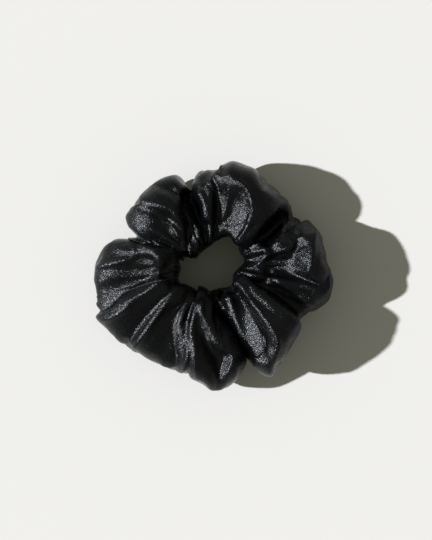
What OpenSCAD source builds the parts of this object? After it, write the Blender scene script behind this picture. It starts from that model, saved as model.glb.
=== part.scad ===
// A satin scrunchie lying flat: a gathered satin tube over a loop of flat braided elastic.
// The origin is the centre of the loop, at the level of the table, and +Z is up.
// The loop is pulled open along +X. The gathers are numbered counter-clockwise from +X.

/* [Loop] */
// Radius of the relaxed elastic, to the middle of the band
elastic_r = 25; // [24:0.5:28]
// Half the length of the oval hair opening
opening_long_r = 17; // [14:0.5:18]
// Half the width of the oval hair opening
opening_short_r = 10.5; // [9:0.5:13]
// Direction of the opening's long axis, from +X
opening_tilt = 35; // [0:5:90]

/* [Satin casing] */
// Thickness of the satin
satin_t = 0.5; // [0.4:0.1:0.7]
// How far the casing draws in between two gathers
pinch = 5; // [2:0.5:6]
// How high the casing arches off the table between two gathers
arch = 2; // [1.5:0.5:3]
// Gap between neighbouring gathers, in degrees
gather_gap = 0.8; // [0.6:0.1:1.5]
// Depth of the turned-in edges along the long seam
allowance_depth = 6; // [4:1:8]
// Place of the long seam round the tube: 0 faces outwards, -90 faces the table
seam_phi = -28; // [-40:2:-10]

/* [Closing seam] */
// Length of the tube's end that is tucked into its other end
tuck_sweep = 11; // [6:1:13]
// Radius of the topstitch thread that closes the tube
topstitch_r = 0.25; // [0.2:0.05:0.3]

/* [Elastic] */
// Width of the flat elastic
band_w = 7; // [6:0.5:8]
// Thickness of the flat elastic
band_t = 1.5; // [1.4:0.1:1.8]
// Number of rubber strands inside the braid
strand_n = 6; // [5:1:6]
// Radius of one rubber strand
strand_r = 0.35; // [0.3:0.05:0.4]
// Sweep of the overlap where the elastic's two ends are sewn together
overlap_sweep = 26; // [22:1:30]

/* [Thread] */
// Radius of the sewing thread
thread_r = 0.18; // [0.15:0.01:0.2]

/* [Hidden] */
// How far each gather reaches from the loop's centre, and how high it stands
gather_reach = [57, 50, 50, 49, 49, 47, 56, 59, 55, 59, 59, 57];
gather_height = [37, 39, 36, 37, 34, 36, 38, 36, 37, 38, 40, 38];
gather_n = len(gather_reach);
pitch = 360 / gather_n;
ring_steps = 6;      // stations along one gather
round_steps = 16;    // points round the tube
tube_mid = 0.47;     // height of the tube's middle, as a share of the gather's height
puffiness = 0.85;    // under 1 makes the tube's section squarer than an ellipse
closing_theta = 195; // the closing seam lies in the valley between gathers 7 and 8
tuck_clear = 0.25;   // between the casing and its own tucked-in end
allowance_clear = 1.6; // between the casing's outer face and the turned-in edges
allowance_t = 0.6;   // two layers of satin
seam_tube_r = 17;    // the tube's usual radius where the long seam runs
lockstitch_in = 1;   // how far inside the fold the lockstitch runs
lockstitch_gap = 0.23; // between the turned-in edges and the thread on either side
stitch_gap = 0.08;   // between the topstitch and the casing
band_z = 17;         // height of the middle of the band
overlap_gap = 0.15;  // between the two layers of the overlap
channel_clear = 0.05; // between a rubber strand and the braid round it
tack_rows = [0.3, 0.7]; // places of the bar tack's rows, as shares of the overlap
tack_stitches = 5;   // stitches in each row
tack_spread = 0.67;  // height of a row, as a share of the band's width
tack_lean = 60;      // how far the zigzag's stitches lean
SATIN = [0.03, 0.03, 0.035];
THREAD = [0.06, 0.06, 0.07];
BRAID = [0.12, 0.12, 0.13];
RUBBER = [0.35, 0.33, 0.30];

GATHERS = ["gather_01", "gather_02", "gather_03", "gather_04", "gather_05", "gather_06",
           "gather_07", "gather_08", "gather_09", "gather_10", "gather_11", "gather_12"];

// ---- the casing's shape: theta runs round the loop, phi round the tube ----

function turns(theta) = (theta + pitch / 2) / pitch;
function gather_at(theta) = (floor(turns(theta)) + gather_n) % gather_n;
function along(theta) = turns(theta) - floor(turns(theta));
function between(list, i) = (list[(i + gather_n) % gather_n] + list[(i + 1) % gather_n]) / 2;

// A value that peaks in each gather and draws in between them.
function billow(list, theta) =
    let (i = gather_at(theta), s = along(theta),
         low = between(list, i - 1) * (1 - s) + between(list, i) * s - pinch)
    low + (list[i] - low) * pow(max(0, sin(180 * s)), 0.7);

function opening_r(theta) =
    1 / norm([cos(theta - opening_tilt) / opening_long_r, sin(theta - opening_tilt) / opening_short_r]);
function sole(theta) = arch * max(0, 1 - 3 * min(along(theta), 1 - along(theta)));
function squared(v) = sign(v) * pow(abs(v), puffiness);

// [radius, height] of a point that lies inset under the casing's outer face.
function section(theta, phi, inset) =
    let (inner = opening_r(theta), outer = billow(gather_reach, theta),
         top = billow(gather_height, theta), middle = tube_mid * top)
    [(inner + outer) / 2 + ((outer - inner) / 2 - inset) * squared(cos(phi)),
     max(sole(theta) + inset, middle + (top - middle - inset) * squared(sin(phi)))];

function placed(theta, rz) = [rz[0] * cos(theta), rz[0] * sin(theta), rz[1]];
function stations(from, sweep, steps) = [for (k = [0:steps]) from + sweep * k / steps];
function tube_ring(theta, inset) =
    [for (j = [0:round_steps - 1]) placed(theta, section(theta, 360 * j / round_steps, inset))];

// Two triangles for the cell between rows a and b and columns j and k, seen from outside.
function cell(a, b, j, k) = [[a + j, b + j, b + k], [a + j, b + k, a + k]];
function flipped(faces) = [for (f = faces) [f[2], f[1], f[0]]];

// A length of the satin tube, open at both ends, with its outer face at the given inset.
module tube_length(from, sweep, steps, inset) {
    thetas = stations(from, sweep, steps);
    n = round_steps;
    inside = n * len(thetas);
    outer_rings = [for (t = thetas) each tube_ring(t, inset)];
    inner_rings = [for (t = thetas) each tube_ring(t, inset + satin_t)];
    skin = [for (k = [0:steps - 1], j = [0:n - 1]) each cell(n * k, n * (k + 1), j, (j + 1) % n)];
    lining = [for (f = flipped(skin)) f + [inside, inside, inside]];
    first_rim = [for (j = [0:n - 1]) each cell(inside, 0, j, (j + 1) % n)];
    last_rim = [for (j = [0:n - 1]) each cell(n * steps, inside + n * steps, j, (j + 1) % n)];
    polyhedron(concat(outer_rings, inner_rings), concat(skin, lining, first_rim, last_rim));
}

// A closed loop through a list of rings that all have the same number of points.
module closed_loop(rings) {
    n = len(rings[0]);
    m = len(rings);
    polyhedron([for (ring = rings) each ring],
               [for (k = [0:m - 1], j = [0:n - 1]) each cell(n * k, n * ((k + 1) % m), j, (j + 1) % n)]);
}

module gather(i) {
    color(SATIN) tube_length((i - 0.5) * pitch + gather_gap / 2, pitch - gather_gap, ring_steps, 0);
}

// The tube's end, which lies inside the tube's other end past the closing seam.
module tucked_end() {
    color(SATIN)
        tube_length(closing_theta + gather_gap, tuck_sweep, ceil(tuck_sweep / 4), satin_t + tuck_clear);
}

// ---- the long seam: the strip's two edges turned in, and a lockstitch through them ----

loop_thetas = [for (k = [0:gather_n * ring_steps - 1]) pitch * (k / ring_steps - 0.5)];

// Degrees round the tube that a length covers there, for a tube about this big.
function spread(length) = length / seam_tube_r * 180 / PI;

module seam_allowance() {
    half = spread(allowance_t) / 2;
    deep = allowance_clear + allowance_depth;
    color(SATIN) closed_loop([for (t = loop_thetas)
        [placed(t, section(t, seam_phi - half, allowance_clear)),
         placed(t, section(t, seam_phi - half, deep)),
         placed(t, section(t, seam_phi + half, deep)),
         placed(t, section(t, seam_phi + half, allowance_clear))]]);
}

// One thread of the lockstitch, on the side of the seam allowance that side (1 or -1) gives.
module long_seam_thread(side) {
    phi = seam_phi + side * spread(allowance_t / 2 + thread_r + lockstitch_gap);
    color(THREAD) closed_loop([for (t = loop_thetas)
        [for (a = [0:60:300])
            placed(t, section(t, phi, allowance_clear + lockstitch_in) + thread_r * [cos(a), -sin(a)])]]);
}

// ---- the closing seam: a topstitch round the tube ----

module closing_seam_thread() {
    across = [-sin(closing_theta), cos(closing_theta), 0];
    out = topstitch_r + stitch_gap;
    color(THREAD) closed_loop([for (k = [0:23])
        let (phi = 360 * k / 24,
             middle = section(closing_theta, phi, -out),
             away = [squared(cos(phi)), squared(sin(phi))] / norm([squared(cos(phi)), squared(sin(phi))]))
        [for (a = [0:60:300])
            placed(closing_theta, middle + topstitch_r * cos(a) * away)
            + topstitch_r * sin(a) * across]]);
}

// ---- the elastic: a band whose ends overlap, as a spiral of two arcs ----

band_step = (band_t + overlap_gap) / 2;
first_arc_r = elastic_r - band_step / 2;
strand_pitch = (band_w - band_t) / (strand_n - 1);

// A profile, drawn about x = 0, swept along the band from one end to the other.
module along_band() {
    rotate([0, 0, 180]) translate([0, 0, band_z]) {
        rotate_extrude(angle = 180, $fn = 96) translate([first_arc_r, 0]) children();
        translate([band_step, 0, 0]) rotate([0, 0, 180])
            rotate_extrude(angle = 180 + overlap_sweep, $fn = 96)
                translate([first_arc_r + band_step, 0]) children();
    }
}

module strand_profile(r) {
    for (k = [0:strand_n - 1])
        translate([0, (k - (strand_n - 1) / 2) * strand_pitch]) circle(r, $fn = 24);
}

module braid_profile() {
    difference() {
        union() {
            square([band_t, band_w - band_t], center = true);
            for (end = [-1, 1]) translate([0, end * (band_w - band_t) / 2]) circle(band_t / 2, $fn = 32);
        }
        strand_profile(strand_r + channel_clear);
    }
}

module elastic_braid() { color(BRAID) along_band() braid_profile(); }
module elastic_rubber_strands() { color(RUBBER) along_band() strand_profile(strand_r); }

// The bar tack: two zigzag rows of stitches through both layers of the overlap.
module elastic_join_thread() {
    stitch_r = band_t + overlap_gap / 2 + thread_r;
    color(THREAD) for (row = tack_rows, k = [0:tack_stitches - 1])
        let (up = (k / (tack_stitches - 1) - 0.5) * tack_spread * band_w)
            rotate([0, 0, 180 + row * overlap_sweep])
                translate([first_arc_r + band_step, 0, band_z + up])
                    rotate([k % 2 == 0 ? tack_lean : 180 - tack_lean, 0, 0])
                        rotate_extrude($fn = 48) translate([stitch_r, 0]) circle(thread_r, $fn = 16);
}

for (i = [0:gather_n - 1])
    gather(i);
tucked_end();
seam_allowance();
long_seam_thread(1);  // long_seam_needle_thread
long_seam_thread(-1);  // long_seam_bobbin_thread
closing_seam_thread();
elastic_braid();
elastic_rubber_strands();
elastic_join_thread();
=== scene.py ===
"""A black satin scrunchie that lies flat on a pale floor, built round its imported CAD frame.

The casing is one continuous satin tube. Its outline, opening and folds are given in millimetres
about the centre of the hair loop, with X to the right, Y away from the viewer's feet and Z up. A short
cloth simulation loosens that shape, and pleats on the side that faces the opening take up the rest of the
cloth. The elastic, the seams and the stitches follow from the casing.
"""
import math

import bmesh
import bpy
import numpy as np
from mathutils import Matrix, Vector


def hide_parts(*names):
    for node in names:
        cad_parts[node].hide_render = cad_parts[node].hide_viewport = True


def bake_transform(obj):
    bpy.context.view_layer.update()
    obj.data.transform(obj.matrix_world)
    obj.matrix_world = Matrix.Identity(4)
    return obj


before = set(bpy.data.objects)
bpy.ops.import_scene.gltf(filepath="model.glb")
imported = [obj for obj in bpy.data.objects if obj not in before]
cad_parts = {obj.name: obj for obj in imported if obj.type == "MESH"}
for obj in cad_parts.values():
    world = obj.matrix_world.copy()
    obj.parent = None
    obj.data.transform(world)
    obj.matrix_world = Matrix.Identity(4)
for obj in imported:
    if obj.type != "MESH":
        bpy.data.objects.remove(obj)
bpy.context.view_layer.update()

MM = 0.001
AROUND, ROUND = 440, 112  # the casing's points round the loop, and round the tube
CLOTH_AROUND, CLOTH_ROUND = 330, 56  # the same for the coarser cloth that is simulated
# The strip that the casing is cut from, without its two turned-in edges, in metres. It is an estimate.
CLOTH_LENGTH, CLOTH_WIDTH = 0.45, 0.118
CLOSING_DEGREES = 195  # where the tube's ends meet
SEAM_DEGREES = -28  # the long seam's place round the tube, from its outside
SATIN_T = 0.25  # the satin's thickness
HEM_ROWS, HEM_STEP = 8, 0.45  # past the closing seam the satin lies on its own tucked-in end
TUCKED_ROWS, TUCKED_INSIDE = 14, 0.6  # how far that end reaches in, and how far under the casing it lies
ALLOWANCE, ALLOWANCE_GAP = 6, 0.6  # the turned-in edges' depth, and the thickness of the two together
STITCH, TOPSTITCH = 2.5, 2.6  # stitch lengths
THREAD_R, TOPSTITCH_R, THREAD_SIDES = 0.15, 0.2, 6

# The elastic: a band whose two ends overlap, as a spiral of two arcs at this height.
BAND_Z = 17
BAND_ARCS = [((0, 0), 24.5875, 180, 360), ((-0.825, 0), 25.4125, 0, 206)]  # centre, radius, from, to
OVERLAP = (25.4125, 180, 206)  # its middle's radius from the loop's centre, from, to
YARNS, YARN_SWING, YARN_PERIOD = 14, 3.3, 13
CORES, CORE_PITCH, CORE_R = 6, 1.1, 0.35

# The outline seen from above: degrees from +X, and how far the satin reaches from the loop's centre.
OUTLINE = [
    (4, 55), (15, 54.5), (24, 52), (32, 47), (41, 48), (55, 48.3), (68, 51.2), (78, 51.5), (89, 46.6),
    (98, 46), (105, 41), (111, 47), (118, 48.5), (125, 48.6), (140, 48), (149, 47.8), (155, 44.4),
    (159, 39), (162, 45), (166, 50), (173, 54.2), (182, 56.7), (193, 57.2), (199, 58.4), (204, 60.6),
    (211, 59.2), (222, 57.1), (227, 55.7), (239, 54.2), (255, 53.7), (264, 56.9), (272, 60), (277, 58.9),
    (283, 55.7), (289, 51.3), (294, 56), (298, 59.7), (302, 58.2), (311, 55.1), (323, 52.4), (329, 50.6),
    (339, 56), (345, 58.7), (352, 58.5),
]
OPENING = [
    (9, 15.9), (26, 14.8), (39, 16.4), (50, 17), (62, 15.5), (78, 12), (99, 8.9), (127, 7.9), (152, 8.7),
    (170, 11), (180, 12.8), (202, 17.2), (212, 16.9), (228, 15.4), (243, 15.3), (252, 13.4), (260, 12.2),
    (288, 11), (316, 12.9), (336, 11.9), (350, 13.5),
]
# The casing's height in the middle of the tube, and how much higher it stands on its outside than inside.
CROWN = [
    (0, 31), (15, 29), (30, 24), (45, 31), (62, 33), (78, 32), (95, 31), (105, 26), (113, 30), (130, 31),
    (145, 30), (157, 27), (166, 28), (180, 30), (210, 29), (240, 27), (265, 28), (280, 26), (289, 20),
    (297, 31), (312, 34), (325, 34), (336, 28), (350, 31),
]
TILT = [
    (5, 8), (30, -4), (50, 2), (75, 6), (92, 2), (105, 0), (120, 3), (140, 2), (157, -6), (175, -12),
    (195, -10), (215, -6), (235, 0), (265, 4), (282, 4), (289, -4), (297, 9), (312, 17), (325, 16), (336, 6),
    (352, 8),
]
# The height at which the tube is widest, as a share of its height.
WAIST = [(20, 0.57), (60, 0.57), (180, 0.53), (260, 0.53), (285, 0.53), (298, 0.7), (325, 0.66), (345, 0.6)]

# The folds: each runs along its points, outwards from the opening, and stands up (or, below 0, sinks in) by
# its height. It falls away over one width on its left side and another on its right, from a rounded crest.
FOLDS = [
    # points, height, left width, right width, crest rounding
    ([(-22, 9), (-31, 7), (-41, 3), (-50, 0.5), (-60, -2)], 3.2, 9, 9, 4),
    ([(-24, 1), (-25, -3), (-25, -8)], 1.8, 4, 4, 2),
    ([(-21, -5.6), (-30.6, -12), (-37, -15.9), (-42, -21), (-49, -25), (-58, -27)], 4.8, 14, 3, 2),
    ([(-15.5, -8), (-17.5, -12.8), (-22.7, -18.3), (-29, -27.9), (-36.4, -38.2), (-41, -46)], 4.6, 15, 3, 2),
    ([(-7.6, -14.3), (-11.5, -18.3), (-13.9, -23), (-15.1, -27.9), (-13.1, -33.4), (-11.1, -40),
      (-12.5, -48), (-14, -56)], 4.2, 4, 4, 1.5),
    ([(-6.8, -15.9), (-8.4, -23.9), (-9.6, -30.2), (-8.4, -38.2), (-8, -47.7), (-6.8, -58)], 5.8, 8, 3.5, 2),
    ([(-0.4, -12.8), (-4.4, -15.9), (-4.8, -22.3), (-2, -28.6), (2, -35.8), (7.5, -40.6), (9.9, -45.3),
      (9.1, -49.3), (5, -58)], 5.8, 8.5, 3.5, 2),
    ([(0.4, -13.6), (7.5, -22.3)], 1.6, 2.5, 1.5, 1),
    ([(1.6, -25.1), (4.7, -28.6)], 1.2, 2, 1.5, 1),
    ([(7.5, -12.8), (9.1, -19.1), (11.5, -25.5), (13.9, -32.6), (15.5, -39.8), (17.5, -45.3), (20.2, -48.5),
      (25, -49.7)], 4.8, 7, 5, 2.5),
    ([(9.9, -7.2), (12.7, -8), (17.1, -14.3), (21.8, -20.7), (26.6, -27.1), (30.6, -33.4), (31.5, -38.2),
      (30.2, -43.7), (27.8, -55)], 5.2, 12, 3.5, 2),
    ([(27, -4.5), (31, -7.2), (36.9, -11.2), (44.1, -16.3), (50, -19)], 3.2, 8, 4.5, 1.5),
    ([(33.5, 4.5), (31.6, 11.9), (34, 23.8), (36, 32)], 3.2, 4, 8, 1.5),
    ([(33.5, 4), (38, 10), (41, 17)], 1.6, 3, 3, 1.5),
    ([(43, -6), (45, 0), (47.5, 9), (49.5, 19), (48, 28)], 4, 8, 6, 1.5),
    ([(28, 4), (25, 8), (20, 11.5)], 3, 8, 4, 1),
    ([(11.5, 11), (16, 17), (18, 23), (18.8, 29.5), (16.5, 35.5), (10, 42)], 4.2, 6.5, 14, 2),
    ([(-2.5, 20), (-2.6, 24.6), (-4, 31), (-8, 34)], 2.2, 2.5, 6, 1),
    ([(-10.4, 3), (-10.2, 8), (-10, 12.5)], 1.8, 2, 4, 1),
    ([(-12.9, 5), (-13.3, 11), (-15.1, 20.5), (-18.7, 25.6), (-24.3, 28), (-31, 30)], 4.2, 4, 5, 2),
    ([(-14.7, 12.7), (-18.7, 19.4), (-23, 21)], 1.4, 2, 2.5, 1),
    ([(-21, 0), (-26.6, 4.7), (-33, 11.5), (-36, 16.8), (-41, 20), (-47, 22)], 6, 2.5, 15, 2),
    ([(-12.3, -2), (-12.4, 6), (-11.8, 16), (-11.2, 26), (-10.8, 31)], -4, 4, 4, 1),
    ([(12.5, -14), (16, -30), (19.5, -44), (20, -56)], -3, 5, 5, 2),
    ([(24, 0), (36, -5), (50, -28)], -3, 8, 8, 2),
    ([(20, 12), (32, 19), (44, 27)], -3, 7, 5, 2),
]
CREASE, CREASE_WIDTH = 1.0, 1.2  # a crest's crease: its height and how far it spreads
LOOSENESS = 0.5  # how far the satin goes from its guided shape towards the simulated one
PUCKERS = 140  # small wrinkles
PLEATS, PLEAT_DEPTH = 34, 5.6  # how many there are round the opening, and how far each goes into the tube
OWN_GROWTH = 3.5  # how much further out the satin comes when it gathers


# ---- curves ----

def around(points, degrees):
    """Smooth values round the loop that pass through (degrees, value) pairs and don't overshoot them."""
    at, value = np.array(points, float).T
    at = np.concatenate([at[-2:] - 360, at, at[:2] + 360])
    value = np.concatenate([value[-2:], value, value[:2]])
    step = np.diff(at)
    rise = np.diff(value) / step
    before, after = rise[:-1], rise[1:]
    level = before * after <= 0
    total = np.where(level, 1, before + after)
    slope = np.concatenate([[0], np.where(level, 0, 2 * before * after / total), [0]])
    x = (np.asarray(degrees, float) - at[1]) % 360 + at[1]
    i = np.clip(np.searchsorted(at, x, side="right") - 1, 1, len(at) - 3)
    t = (x - at[i]) / step[i]
    return (
        value[i] * (1 + 2 * t) * (1 - t) ** 2 + value[i + 1] * t * t * (3 - 2 * t)
        + step[i] * (slope[i] * t * (1 - t) ** 2 - slope[i + 1] * t * t * (1 - t))
    )


def smooth_line(points, steps=8):
    """The points of a curve that passes smoothly through the given ones."""
    p = np.array(points, float)
    p = np.vstack([2 * p[0] - p[1], p, 2 * p[-1] - p[-2]])
    t = np.linspace(0, 1, steps, endpoint=False)[:, None]
    parts = [
        0.5 * (2 * b + (c - a) * t + (2 * a - 5 * b + 4 * c - d) * t**2 + (3 * b - a - 3 * c + d) * t**3)
        for a, b, c, d in zip(p, p[1:], p[2:], p[3:])
    ]
    return np.vstack([*parts, p[-2:-1]])


def from_line(line, x, y):
    """For each point: its distance from the line, above 0 on its left, and its place along it, 0 to 1."""
    a, d = line[:-1], np.diff(line, axis=0)
    length = np.hypot(d[:, 0], d[:, 1])
    start = np.concatenate([[0], np.cumsum(length)])
    nearest = np.full(x.shape, np.inf)
    side, along = np.ones(x.shape), np.zeros(x.shape)
    for k in range(len(d)):
        px, py = x - a[k, 0], y - a[k, 1]
        t = np.clip((px * d[k, 0] + py * d[k, 1]) / length[k] ** 2, 0, 1)
        away = np.hypot(px - t * d[k, 0], py - t * d[k, 1])
        closer = away < nearest
        nearest = np.where(closer, away, nearest)
        side = np.where(closer, np.sign(d[k, 0] * py - d[k, 1] * px), side)
        along = np.where(closer, (start[k] + t * length[k]) / start[-1], along)
    return nearest * side, along


def eased(t):
    t = np.clip(t, 0, 1)
    return t * t * (3 - 2 * t)


# ---- the casing's shape ----

def grid_angles(rows, columns):
    """u round the loop from the closing seam, and v round the tube from the long seam, closest on top."""
    fine = np.linspace(0, 2 * math.pi, 2000) + math.radians(SEAM_DEGREES)
    crowding = 0.35
    share = fine - crowding * np.cos(fine)
    share = (share - share[0]) / (share[-1] - share[0])
    v = np.interp(np.arange(columns) / columns, share, fine)
    u = math.radians(CLOSING_DEGREES) + 2 * math.pi * np.arange(rows) / rows
    return np.meshgrid(u, v, indexing="ij")


def tube_base(u, v):
    """The puffed tube before it has folds: u runs round the loop and v round the tube, from its outside."""
    degrees = np.degrees(u)
    outer, inner = around(OUTLINE, degrees) - OWN_GROWTH, around(OPENING, degrees)
    crown, tilt, waist = around(CROWN, degrees), around(TILT, degrees), around(WAIST, degrees)
    top, low = np.clip(np.sin(v), 0, 1), np.clip(-np.sin(v), 0, 1)
    boxy, slim, drop = 0.6, 1.1, 0.9  # powers: under 1 the section is fuller than an ellipse
    sole = 1.06  # above 1, so that a strip of the underside lies flat on the floor
    squareness = np.where(top > 0, boxy, slim)
    across = np.sign(np.cos(v)) * np.abs(np.cos(v)) ** squareness
    up = top**boxy
    r = (outer + inner) / 2 + (outer - inner) / 2 * across
    z = crown * (waist * (1 - np.minimum(1, sole * low**drop)) + (1 - waist) * up) + tilt / 2 * across * up
    return np.stack([r * np.cos(u), r * np.sin(u), z], axis=-1)


def outward(p):
    """Unit normals of a grid that closes on itself both ways."""
    du = np.roll(p, -1, 0) - np.roll(p, 1, 0)
    dv = np.roll(p, -1, 1) - np.roll(p, 1, 1)
    n = np.cross(du, dv)
    return n / np.maximum(np.linalg.norm(n, axis=-1, keepdims=True), 1e-9)


def smoothed(p, rounds, share=0.5):
    """The grid with each point moved part of the way to the middle of its neighbours."""
    for _ in range(rounds):
        mean = (np.roll(p, 1, 0) + np.roll(p, -1, 0) + np.roll(p, 1, 1) + np.roll(p, -1, 1)) / 4
        p = p + share * (mean - p)
    return p


def fold_height(x, y):
    """How far the folds lift the top of the casing at each place. Where two cross, the higher one shows."""
    ramp, start = 0.1, 0.15  # a fold rises from this share of its height over this share of its length
    lifted, sunk = np.zeros(x.shape), np.zeros(x.shape)
    for points, height, left, right, rounding in FOLDS:
        away, along = from_line(smooth_line(points), x, y)
        crest = (np.hypot(away, rounding) - rounding) / np.where(away > 0, left, right)
        lift = abs(height) * np.clip(1 - crest, 0, 1) * eased(along / ramp + start)
        if height > 0:
            lifted += lift**3
        else:
            sunk += lift**3
    return np.cbrt(lifted) - np.cbrt(sunk)


def puckers(u, v):
    """Small upright wrinkles on the casing's outer side and underneath, each of its own size and lean."""
    random = np.random.default_rng(7)
    height = np.zeros(u.shape)
    for _ in range(PUCKERS):
        at, middle = random.uniform(0, 2 * math.pi), random.uniform(-1, 0.35)
        reach, lean = random.uniform(0.4, 0.9), random.uniform(-0.2, 0.2)
        width, rise = math.radians(random.uniform(1.3, 3.6)), random.uniform(-1.3, 1.3)
        down = (v + math.pi / 2) % (2 * math.pi) - math.pi / 2 - middle
        away = (u - at - lean * down + math.pi) % (2 * math.pi) - math.pi
        ends = np.cos(np.clip(down / reach, -1, 1) * math.pi / 2) ** 2
        height += rise * np.exp(-((away / width) ** 2)) * ends
    return height


def guided_points(rows, columns):
    """The casing as it is meant to lie, before the satin has gathered."""
    smoothing = 30  # rounds, for directions that no single point decides
    below, fade = 0.55, 0.5  # the folds fade out below the middle of the tube's sides
    u, v = grid_angles(rows, columns)
    p = tube_base(u, v)
    normal = outward(smoothed(p, smoothing))
    p = p + normal * puckers(u, v)[..., None]
    upper = eased((np.sin(v) + below) / fade)
    lift = fold_height(p[..., 0], p[..., 1]) * upper
    p = p + normal * lift[..., None]
    p[..., 2] = np.maximum(p[..., 2], 0)
    return p, v


def gathered(goal, v):
    """Cloth that starts as a wider ring and is drawn in to the goal, so that its spare length wrinkles."""
    unit = 0.01  # simulated ten times life size, which Blender's cloth handles better
    frames, closing = 16, 8
    outer_slack, inner_slack = 3, 6
    slack = outer_slack + (inner_slack - outer_slack) * (1 - np.cos(v)) / 2
    away = goal[..., :2]
    start = goal.copy()
    start[..., :2] += slack[..., None] * away / np.maximum(np.linalg.norm(away, axis=-1, keepdims=True), 1)
    mesh = bpy.data.meshes.new("gathering")
    mesh.from_pydata((start.reshape(-1, 3) * unit).tolist(), [], grid_faces(*goal.shape[:2]).tolist())
    cloth = bpy.data.objects.new("gathering", mesh)
    bpy.context.scene.collection.objects.link(cloth)
    cloth.shape_key_add(name="Basis")
    key = cloth.shape_key_add(name="gathered")
    key.data.foreach_set("co", (goal.reshape(-1) * unit).astype(np.float32))
    for value, at in ((0, 1), (1, closing)):
        key.value = value
        key.keyframe_insert("value", frame=at)

    guide, loose_from = 0.06, 0.75
    weights = guide + (1 - guide) * np.clip((-np.cos(v) - loose_from) / (1 - loose_from), 0, 1)
    group = cloth.vertex_groups.new(name="held")
    for index, weight in enumerate(weights.reshape(-1).tolist()):
        group.add([index], weight, "REPLACE")

    modifier = cloth.modifiers.new("cloth", "CLOTH")
    s = modifier.settings
    s.quality, s.mass, s.air_damping = 5, 0.005, 1
    s.tension_stiffness = s.compression_stiffness = 40
    s.shear_stiffness, s.bending_stiffness = 5, 0.5
    s.tension_damping = s.compression_damping = s.shear_damping = 1
    s.bending_damping = 0.5
    s.vertex_group_mass, s.pin_stiffness = "held", 1
    s.effector_weights.gravity = 0
    modifier.collision_settings.use_collision = False
    modifier.collision_settings.use_self_collision = False
    modifier.point_cache.frame_start, modifier.point_cache.frame_end = 1, frames
    for at in range(1, frames + 1):
        bpy.context.scene.frame_set(at)
    settled = cloth.evaluated_get(bpy.context.evaluated_depsgraph_get())
    points = np.zeros(goal.size, np.float32)
    settled.to_mesh().vertices.foreach_get("co", points)
    settled.to_mesh_clear()
    bpy.data.objects.remove(cloth)
    bpy.context.scene.frame_set(1)
    return points.reshape(goal.shape).astype(float) / unit


def by_sector(p, value, sectors=240):
    """The largest value in each sector round the loop, a little smoothed, and the angle of each point."""
    degrees = np.degrees(np.arctan2(p[..., 1], p[..., 0])) % 360
    largest = np.zeros(sectors)
    np.maximum.at(largest, (degrees / 360 * sectors).astype(int) % sectors, value)
    for _ in range(2):
        largest = (np.roll(largest, 1) + largest + np.roll(largest, -1)) / 3
    return (np.arange(sectors) + 0.5) * 360 / sectors, largest, degrees


def fitted(p, goal):
    """The gathered casing brought back to its outline and its height, and resting on the floor."""
    resting = 2  # per cent of the points, which end up on the floor
    p = p.copy()
    p[..., 2] -= np.percentile(p[..., 2], resting)
    middles, height, degrees = by_sector(p, p[..., 2])
    meant = by_sector(goal, goal[..., 2])[1]
    p[..., 2] *= np.interp(degrees, middles, meant / height, period=360)
    r = np.hypot(p[..., 0], p[..., 1])
    middles, reach, degrees = by_sector(p, r)
    shift = np.interp(degrees, middles, around(OUTLINE, middles) - reach, period=360)
    inner = around(OPENING, degrees)
    share = eased((r - inner) / (np.interp(degrees, middles, reach, period=360) - inner))
    scale = 1 + shift * share / r
    return p * np.stack([scale, scale, np.ones_like(r)], axis=-1)


def refined(p, count, axis):
    """The closed grid with this many points along one axis, on smooth curves through the ones it has."""
    p = np.moveaxis(p, axis, 0)
    at = np.arange(count) * len(p) / count
    i = at.astype(int)
    t = (at - i)[:, None, None]
    a, b, c, d = (p[(i + k) % len(p)] for k in (-1, 0, 1, 2))
    fine = 0.5 * (2 * b + (c - a) * t + (2 * a - 5 * b + 4 * c - d) * t**2 + (3 * b - a - 3 * c + d) * t**3)
    return np.moveaxis(fine, 0, axis)


def calmed(p):
    """The casing with the smallest wrinkles smoothed away close to the opening."""
    r, degrees = np.hypot(p[..., 0], p[..., 1]), np.degrees(np.arctan2(p[..., 1], p[..., 0]))
    full, fade, rounds = 2, 8, 6  # millimetres from the opening, and rounds of smoothing
    share = 1 - eased((r - around(OPENING, degrees) - full) / fade)
    return p + share[..., None] * (smoothed(p, rounds) - p)


def creased(p):
    """The casing with a fine crease along the crest of each fold."""
    start, end = 0.15, 0.2  # the shares of its length over which a crease fades in and out
    tilted, level = 0.1, 0.4  # no crease where the satin is steeper than the first
    normal = outward(p)
    x, y = p[..., 0], p[..., 1]
    height = np.zeros(x.shape)
    for points, rise, *_ in FOLDS:
        if rise > 0:
            away, along = from_line(smooth_line(points), x, y)
            ends = eased(along / start) * eased((1 - along) / end)
            height = np.maximum(height, CREASE * np.exp(-((away / CREASE_WIDTH) ** 2)) * ends)
    upper = eased((normal[..., 2] - tilted) / level)
    return p + normal * (height * upper)[..., None]


def pleated(p, v):
    """The casing with its spare cloth taken up in pleats on the side of the tube that faces the opening."""
    middle = math.radians(250)  # where the pleats are deepest, below the opening's narrowest level
    edge, fade = 0.1, 0.4  # cosines from the middle: where they end, and how fast they fade
    smoothing = 20
    u = np.arctan2(p[..., 1], p[..., 0])
    side = eased((np.cos(v - middle) - edge) / fade)
    place = PLEATS * u + 0.9 * np.sin(3 * u + 1) + 0.7 * np.sin(7 * u)  # unevenly spaced
    depth = PLEAT_DEPTH * (1 + 0.2 * np.sin(5 * u + 2)) * (1 - np.cos(place)) / 2  # unevenly deep
    return p - outward(smoothed(p, smoothing)) * (depth * side)[..., None]


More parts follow.
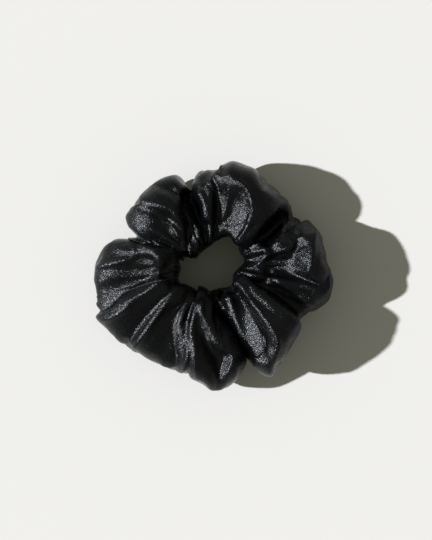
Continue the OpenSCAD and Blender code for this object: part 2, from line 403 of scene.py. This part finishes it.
def casing_points():
    goal, v = guided_points(CLOTH_AROUND, CLOTH_ROUND)
    settled = calmed(fitted(gathered(goal, v), goal))
    settled = goal + LOOSENESS * (settled - goal)
    p = fitted(creased(refined(refined(settled, AROUND, 0), ROUND, 1)), goal)
    p = pleated(p, grid_angles(AROUND, ROUND)[1])
    hem = np.clip(1 - np.arange(AROUND) / HEM_ROWS, 0, 1)
    p = p + outward(p) * (HEM_STEP * hem)[:, None, None]
    p[..., 2] = np.maximum(p[..., 2], 0)
    return p


# ---- meshes ----

def grid_faces(rows, columns, close_rows=True):
    """Quads of a grid that closes on itself across its columns and, if asked, across its rows."""
    i = np.arange(rows if close_rows else rows - 1)[:, None]
    j = np.arange(columns)[None, :]
    i2, j2 = (i + 1) % rows, (j + 1) % columns
    quads = [i * columns + j, i2 * columns + j, i2 * columns + j2, i * columns + j2]
    return np.stack(quads, axis=-1).reshape(-1, 4)


def new_mesh(name, points_mm, faces, cut=None):
    """A piece from points in millimetres. Its UVs run over cut, the flat cloth's size in metres."""
    mesh = bpy.data.meshes.new(name)
    mesh.from_pydata((np.asarray(points_mm).reshape(-1, 3) * MM).tolist(), [], [list(f) for f in faces])
    mesh.update()
    mesh.shade_smooth()
    if cut:
        rows, columns = np.shape(points_mm)[-3:-1]
        i, j = np.divmod(faces % (rows * columns), columns)
        i = np.where((i == 0) & (i.max(1, keepdims=True) == rows - 1), rows, i)
        j = np.where((j == 0) & (j.max(1, keepdims=True) == columns - 1), columns, j)
        uv = np.stack([i / rows * cut[0], j / columns * cut[1]], axis=-1)
        mesh.uv_layers.new(name="cloth").data.foreach_set("uv", uv.reshape(-1))
    else:
        b = bmesh.new()
        b.from_mesh(mesh)
        bmesh.ops.recalc_face_normals(b, faces=b.faces)
        b.to_mesh(mesh)
        b.free()
    piece = bpy.data.objects.new(name, mesh)
    bpy.context.scene.collection.objects.link(piece)
    return piece


def tube(path, radius, sides, closed=False, flat=1, side=None):
    """Points and faces of a thread along a path in millimetres.

    flat squashes it across its depth, which is at right angles to side.
    """
    path = np.asarray(path, float)
    if closed:
        along = np.roll(path, -1, 0) - np.roll(path, 1, 0)
    else:
        along = np.gradient(path, axis=0)
    along /= np.linalg.norm(along, axis=1, keepdims=True)
    side = np.cross(along, [0, 0, 1]) if side is None else np.asarray(side, float)
    side = side - (side * along).sum(1, keepdims=True) * along
    side /= np.maximum(np.linalg.norm(side, axis=1, keepdims=True), 1e-6)
    up = np.cross(side, along)
    a = 2 * math.pi * np.arange(sides) / sides
    ring = radius * (side[:, None] * np.cos(a)[:, None] + flat * up[:, None] * np.sin(a)[:, None])
    return path[:, None] + ring, grid_faces(len(path), sides, closed)


def joined(parts, capped=True):
    """Several tubes as one mesh: all points, all faces and the ends' caps."""
    points, faces, start = [], [], 0
    for ring, quads in parts:
        rows, sides = ring.shape[:2]
        points.append(ring.reshape(-1, 3))
        faces += (quads + start).tolist()
        if capped:
            faces.append([start + j for j in range(sides)][::-1])
            faces.append([start + (rows - 1) * sides + j for j in range(sides)])
        start += rows * sides
    return np.vstack(points), faces


# ---- materials ----

def material(name, **values):
    m = bpy.data.materials.new(name)
    m.use_nodes = True
    shader = m.node_tree.nodes["Principled BSDF"]
    for key, value in values.items():
        shader.inputs[key.replace("_", " ")].default_value = value
    return m, m.node_tree.nodes, m.node_tree.links, shader


def satin_material():
    """Fine glossy cloth: a close weave and a grain of tiny crinkles break up its highlights."""
    m, nodes, links, shader = material("black_satin", Base_Color=(0.0008, 0.0009, 0.0012, 1))
    shader.inputs["Specular IOR Level"].default_value = 0.2
    shader.inputs["Specular Tint"].default_value = (0.87, 0.92, 1, 1)
    place = nodes.new("ShaderNodeTexCoord")

    weave = nodes.new("ShaderNodeTexNoise")
    weave.inputs["Scale"].default_value = 2800
    weave.inputs["Detail"].default_value = 0
    links.new(place.outputs["Object"], weave.inputs["Vector"])
    bump = nodes.new("ShaderNodeBump")
    bump.inputs["Strength"].default_value = 1
    bump.inputs["Distance"].default_value = 0.00018
    links.new(weave.outputs["Fac"], bump.inputs["Height"])
    links.new(bump.outputs["Normal"], shader.inputs["Normal"])

    grain = nodes.new("ShaderNodeTexNoise")
    grain.inputs["Scale"].default_value = 1400
    grain.inputs["Detail"].default_value = 1
    links.new(place.outputs["Object"], grain.inputs["Vector"])
    gloss = nodes.new("ShaderNodeMapRange")
    gloss.inputs["From Min"].default_value = 0.35
    gloss.inputs["From Max"].default_value = 0.65
    gloss.inputs["To Min"].default_value = 0.21
    gloss.inputs["To Max"].default_value = 0.3
    links.new(grain.outputs["Fac"], gloss.inputs["Value"])
    links.new(gloss.outputs["Result"], shader.inputs["Roughness"])
    return m


def thread_material(name, colour, roughness, twist):
    """Spun thread or yarn: fine twisted ridges, with painted shade in their hollows and a painted highlight
    on their tops.
    """
    m, nodes, links, shader = material(name, Roughness=roughness)
    shader.inputs["Specular IOR Level"].default_value = 0.3
    shader.inputs["Sheen Weight"].default_value = 0.15
    shader.inputs["Sheen Roughness"].default_value = 0.4
    place = nodes.new("ShaderNodeTexCoord")
    ridges = nodes.new("ShaderNodeTexNoise")
    ridges.inputs["Scale"].default_value = twist
    ridges.inputs["Detail"].default_value = 2
    links.new(place.outputs["Object"], ridges.inputs["Vector"])
    # painted shade and highlight: the colour follows the ridges' noise, darker where the bump is low and
    # lighter where it is high
    painted_shade = nodes.new("ShaderNodeValToRGB")
    painted_shade.color_ramp.elements[0].color = (*[c * 0.5 for c in colour], 1)
    painted_shade.color_ramp.elements[1].color = (*[c * 1.5 for c in colour], 1)
    links.new(ridges.outputs["Fac"], painted_shade.inputs["Fac"])
    links.new(painted_shade.outputs["Color"], shader.inputs["Base Color"])
    bump = nodes.new("ShaderNodeBump")
    bump.inputs["Distance"].default_value = 0.00006
    links.new(ridges.outputs["Fac"], bump.inputs["Height"])
    links.new(bump.outputs["Normal"], shader.inputs["Normal"])
    return m


def floor_material():
    m, *_, shader = material("pale_floor", Base_Color=(0.42, 0.4175, 0.4225, 1), Roughness=0.9)
    shader.inputs["Specular IOR Level"].default_value = 0.1
    return m


# ---- the pieces ----

def casing_layers(p):
    """The satin's outer face and its inner face."""
    inner = p - outward(p) * SATIN_T
    faces = grid_faces(AROUND, ROUND)
    return np.stack([p, inner]), np.vstack([faces, faces[:, ::-1] + AROUND * ROUND])


def tucked_end(p):
    """The tube's one end, inside its other end past the closing seam."""
    inwards = -outward(smoothed(p, 2))[:TUCKED_ROWS]
    outer = p[:TUCKED_ROWS] + inwards * TUCKED_INSIDE
    inner = outer + inwards * SATIN_T
    rows = np.concatenate([outer, inner[::-1]])
    return rows, grid_faces(2 * TUCKED_ROWS, ROUND)


def seam_lines(p):
    """Along the long seam: the line of the fold, which way is inwards, and which way is sideways."""
    calm = smoothed(p, 12)
    inwards = -outward(calm)[:, 0]
    along = np.roll(calm[:, 0], -1, 0) - np.roll(calm[:, 0], 1, 0)
    sideways = np.cross(inwards, along)
    return p[:, 0], inwards, sideways / np.linalg.norm(sideways, axis=1, keepdims=True)


def turned_in_edges(p):
    """The strip's two long edges, side by side inside the tube. They part a little towards their ends."""
    between, parting, below_fold = 0.04, 0.5, 0.7
    root, inwards, sideways = seam_lines(p)
    phase = np.arange(AROUND) * 2 * math.pi / AROUND
    steps = np.linspace(0, 1, 5)
    parts = []
    for side in (-1, 1):
        ripple = 0.25 * np.sin(17 * phase + side) + 0.15 * np.sin(41 * phase + 2 * side)
        profile = []
        for layer, depths in ((between, steps), (ALLOWANCE_GAP / 2, steps[::-1])):
            for depth in depths:
                away = side * (layer + (parting + ripple) * depth**2)
                deep = below_fold + depth * (ALLOWANCE + ripple)
                profile.append(root + inwards * deep[:, None] + sideways * away[:, None])
        ring = np.stack(profile, axis=1)
        parts.append((ring if side > 0 else ring[:, ::-1], grid_faces(AROUND, ring.shape[1])))
    return joined(parts, capped=False)


def stitched(lines, stitch, steps):
    """Whole stitches along the first of these closed lines, in this many steps each.

    Returns each line's value at every step, and 0 at a stitch's ends to 1 in its middle.
    """
    line = lines[0]
    length = np.linalg.norm(np.diff(line, axis=0, append=line[:1]), axis=1)
    place = np.concatenate([[0], np.cumsum(length)])
    count = round(place[-1] / stitch)
    at = np.linspace(0, place[-1], count * steps, endpoint=False)
    index = np.interp(at, place, np.arange(len(line) + 1))
    i = index.astype(int) % len(line)
    t = (index % 1)[:, None]
    values = [(1 - t) * each[i] + t * each[(i + 1) % len(line)] for each in lines]
    return values, np.abs(np.sin(math.pi * at * count / place[-1]))


def lockstitch(p, side):
    """One thread of the long seam, along one side of the turned-in edges. It dips in at each stitch."""
    buried, below_fold = 0.12, 1.9
    (root, inwards, sideways), middle = stitched(seam_lines(p), STITCH, 8)
    away = side * (buried + (ALLOWANCE_GAP / 2 + THREAD_R - buried) * middle**0.5)
    path = root + inwards * below_fold + sideways * away[:, None]
    return tube(path, THREAD_R, THREAD_SIDES, closed=True, side=sideways)


def closing_stitches(p):
    """The topstitch round the tube, close to the folded edge. It dives into the satin at each stitch."""
    row, swing, dive = 2, 0.5, 0.35
    (on, out), middle = stitched((p[row], outward(p)[row]), TOPSTITCH, 12)
    path = on + out * (swing * middle**0.35 - dive)[:, None]
    path[:, 2] = np.maximum(path[:, 2], TOPSTITCH_R)  # clear of the floor
    return tube(path, TOPSTITCH_R, THREAD_SIDES, closed=True, side=out)


def band_line(step):
    """Points along the middle of the elastic band, and which way is outwards there."""
    points, out = [], []
    for centre, radius, first, last in BAND_ARCS:
        count = round(math.radians(last - first) * radius / step)
        a = np.radians(np.linspace(first, last, count, endpoint=False))
        away = np.stack([np.cos(a), np.sin(a), np.zeros_like(a)], axis=1)
        points.append(away * radius + [*centre, BAND_Z])
        out.append(away)
    return np.vstack(points), np.vstack(out)


def braid():
    """Flat yarns that cross over and under one another between the rubber cores."""
    step, weave, yarn_r, yarn_flat = 0.6, 0.55, 0.31, 0.48
    middle, out = band_line(step)
    s = np.concatenate([[0], np.cumsum(np.linalg.norm(np.diff(middle, axis=0), axis=1))])
    parts = []
    for k in range(YARNS):
        turn = s / YARN_PERIOD + k / YARNS
        up = YARN_SWING * (1 - 4 * np.abs(turn % 1 - 0.5))
        direction = np.where(turn % 1 < 0.5, 1, -1)
        cross = direction * np.sin(math.pi * up / CORE_PITCH)
        path = middle + out * (weave * cross)[:, None]
        path[:, 2] += up
        side = np.cross(out, np.gradient(path, axis=0))
        parts.append(tube(path, yarn_r, THREAD_SIDES, flat=yarn_flat, side=side))
    return joined(parts)


def cores():
    """The rubber strands, one above another along the band."""
    step, sides = 1.2, 8
    middle, out = band_line(step)
    rise = (np.arange(CORES) - (CORES - 1) / 2) * CORE_PITCH
    return joined([tube(middle + [0, 0, z], CORE_R, sides, side=out) for z in rise])


def bar_tack():
    """Two rows of thread wound through both layers of the overlap."""
    turns, reach, swing, spread, thread_r = 7, 1.72, 0.8, 5.2, 0.16
    radius, first, last = OVERLAP
    parts = []
    for share in (0.3, 0.7):
        a = math.radians(first + share * (last - first))
        out, along = np.array([math.cos(a), math.sin(a), 0]), np.array([-math.sin(a), math.cos(a), 0])
        t = np.linspace(0, 1, 181)
        turn = 2 * math.pi * turns * t
        path = (
            out * (radius + reach * np.sign(np.cos(turn)) * np.abs(np.cos(turn)) ** 0.4)[:, None]
            + along * (swing * np.sin(turn))[:, None] + [0, 0, BAND_Z]
            + [[0, 0, z] for z in spread * (t - 0.5)]
        )
        parts.append(tube(path, thread_r, THREAD_SIDES))
    return joined(parts)


# ---- the scene ----

def place_camera():
    """Straight above the scrunchie, a little right of the loop's centre and a little towards the viewer."""
    data = bpy.data.cameras.new("camera")
    data.sensor_fit = "VERTICAL"
    distance, seen, middle_z = 0.9, 0.2587, 0.02  # seen is the height of the view at middle_z
    right, nearer = 0.0019, 0.0019
    data.lens = data.sensor_height * (distance - middle_z) / seen
    camera = bpy.data.objects.new("camera", data)
    camera.location = (right, -nearer, distance)
    bpy.context.scene.collection.objects.link(camera)
    bpy.context.scene.camera = camera


def place_light():
    """A softened sun from the left, and a dim even fill."""
    data = bpy.data.lights.new("key", "SUN")
    data.angle = math.radians(1.4)
    data.energy = 9
    key = bpy.data.objects.new("key", data)
    elevation = math.radians(37)
    key.location = (-math.cos(elevation), 0, math.sin(elevation))
    key.rotation_euler = Vector(key.location).to_track_quat("Z", "Y").to_euler()
    bpy.context.scene.collection.objects.link(key)
    world = bpy.data.worlds.new("fill")
    world.use_nodes = True
    world.node_tree.nodes["Background"].inputs["Color"].default_value = (0.36, 0.36, 0.285, 1)
    bpy.context.scene.world = world
    bpy.context.scene.view_settings.view_transform = "Standard"


def make_floor():
    size, gap = 1.5, 0.0003  # the gap keeps it clear of the satin that rests on it
    corners = [(-size, -size, 0), (size, -size, 0), (size, size, 0), (-size, size, 0)]
    mesh = bpy.data.meshes.new("floor")
    mesh.from_pydata(corners, [], [(0, 1, 2, 3)])
    floor = bpy.data.objects.new("floor", mesh)
    floor.location.z = -gap
    floor.data.materials.append(floor_material())
    bpy.context.scene.collection.objects.link(floor)


place_camera()
place_light()
make_floor()
points = casing_points()
satin = satin_material()
thread = thread_material("black_thread", (0.008, 0.008, 0.01), 0.55, 9000)
yarn = thread_material("braid_yarn", (0.014, 0.014, 0.016), 0.7, 7000)
rubber = thread_material("elastic_rubber", (0.2, 0.18, 0.15), 0.6, 1500)


def add(name, mesh, look, nodes, cut=None):
    """Makes a piece with this look in place of these CAD nodes, which it hides."""
    piece = new_mesh(name, *mesh, cut=cut)
    piece.data.materials.append(look)
    for node in nodes:
        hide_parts(node)
    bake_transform(piece)
    return piece


gathers = [f"gather_{i:02d}" for i in range(1, 13)]
casing = add("satin_casing", casing_layers(points), satin, gathers, cut=(CLOTH_LENGTH, CLOTH_WIDTH))
on_it = [
    add("tucked_casing_end", tucked_end(points), satin, ["tucked_end"]),
    add("turned_in_edges", turned_in_edges(points), satin, ["seam_allowance"]),
    add("needle_stitches", lockstitch(points, 1), thread, ["long_seam_needle_thread"]),
    add("bobbin_stitches", lockstitch(points, -1), thread, ["long_seam_bobbin_thread"]),
    add("closing_topstitch", closing_stitches(points), thread, ["closing_seam_thread"]),
]
band = add("braided_band", braid(), yarn, ["elastic_braid"])
add("rubber_cores", cores(), rubber, ["elastic_rubber_strands"])
add("bar_tack", bar_tack(), thread, ["elastic_join_thread"])
